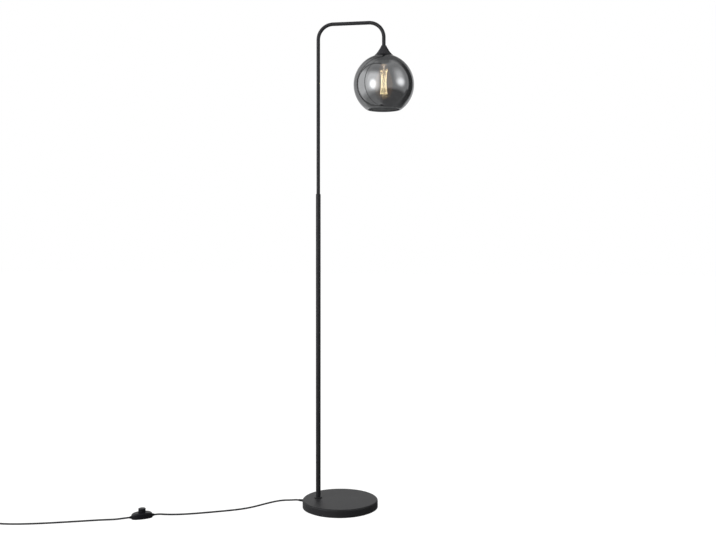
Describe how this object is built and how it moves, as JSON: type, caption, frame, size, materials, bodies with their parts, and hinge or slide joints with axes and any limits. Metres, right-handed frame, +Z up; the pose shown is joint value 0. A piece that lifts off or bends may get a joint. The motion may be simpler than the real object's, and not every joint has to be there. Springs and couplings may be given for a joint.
{
  "type": "globe floor lamp",
  "caption": "Floor lamp: a round weighted base, a slim pole and swan neck, and a smoked glass globe hung round a filament bulb, with mains cord, foot switch and plug.",
  "frame": {"origin": "middle of the base's underside, on the floor", "axes": "+X from the pole's side of the base towards the hanging shade, +Z up, +Y away from a viewer who sees the shade on the right"},
  "size_m": [1.354, 0.6717, 1.612],
  "materials": {
    "black_coat": "satin black powder coat",
    "cast_weight": "bare casting",
    "foam_pad": "matt foam rubber",
    "zinc_steel": "zinc plated",
    "brass": "bright brass",
    "black_plastic": "satin black moulding",
    "black_cord": "smooth black sheath",
    "white_ceramic": "unglazed white",
    "smoked_glass": "smoked and lightly mirrored, polished",
    "clear_glass": "clear, faint amber tint",
    "filament": "lit filament",
    "black_glass": "black vitrified glass",
    "spring_steel": "bright drawn"
  },
  "bodies": {
    "stand": {"base_cover": "black_coat", "base_weight": "cast_weight", "base_pad": "foam_pad", "base_rod": "zinc_steel", "base_washer": "zinc_steel", "base_nut": "zinc_steel", "foot_ring": "black_coat", "cord_gland": "black_plastic", "pole_plug": "zinc_steel", "lower_pole": "black_coat", "pole_collar": "black_coat", "swan_neck": "black_coat", "lamp_cable": "black_cord", "shade_cap": "black_coat", "cap_nipple": "zinc_steel", "cap_spacer": "zinc_steel", "globe_shade": "smoked_glass", "holder_dome": "black_plastic", "holder_body": "black_plastic", "holder_block": "white_ceramic", "holder_shell": "brass", "holder_contact": "spring_steel", "shade_ring": "black_plastic", "switch_base": "black_plastic", "switch_cover": "black_plastic", "switch_carrier": "black_plastic", "switch_spring": "spring_steel", "switch_clamps": "brass", "switch_screws": "zinc_steel", "switch_sleeves": "black_plastic", "cord_base_to_switch": "black_cord", "cord_switch_to_coil": "black_cord", "cord_coil": "black_cord", "coil_tie": "black_plastic", "cord_tail": "black_cord", "plug_sleeve": "black_plastic", "plug_body": "black_plastic", "plug_pins": "zinc_steel"},
    "foot_button": {"switch_button": "black_plastic"},
    "bulb": {"bulb_glass": "clear_glass", "bulb_cap": "brass", "bulb_insulator": "black_glass", "bulb_tip": "spring_steel", "bulb_stem": "clear_glass", "bulb_filament": "filament", "bulb_supports": "spring_steel"}
  },
  "joints": [
    {"name": "switch_press", "type": "slide", "parent": "stand", "child": "foot_button", "axis": [0, 0, -1], "range_m": [0, 0.0035], "stiffness_N_per_m": 2000, "springref_m": -0.002, "deforming": ["switch_spring"]},
    {"name": "bulb_turn", "type": "hinge", "parent": "stand", "child": "bulb", "pos_m": [0.1465, 0, 1.4765], "axis": [0, 0, 1], "range_deg": [0, 1080]}
  ]
}
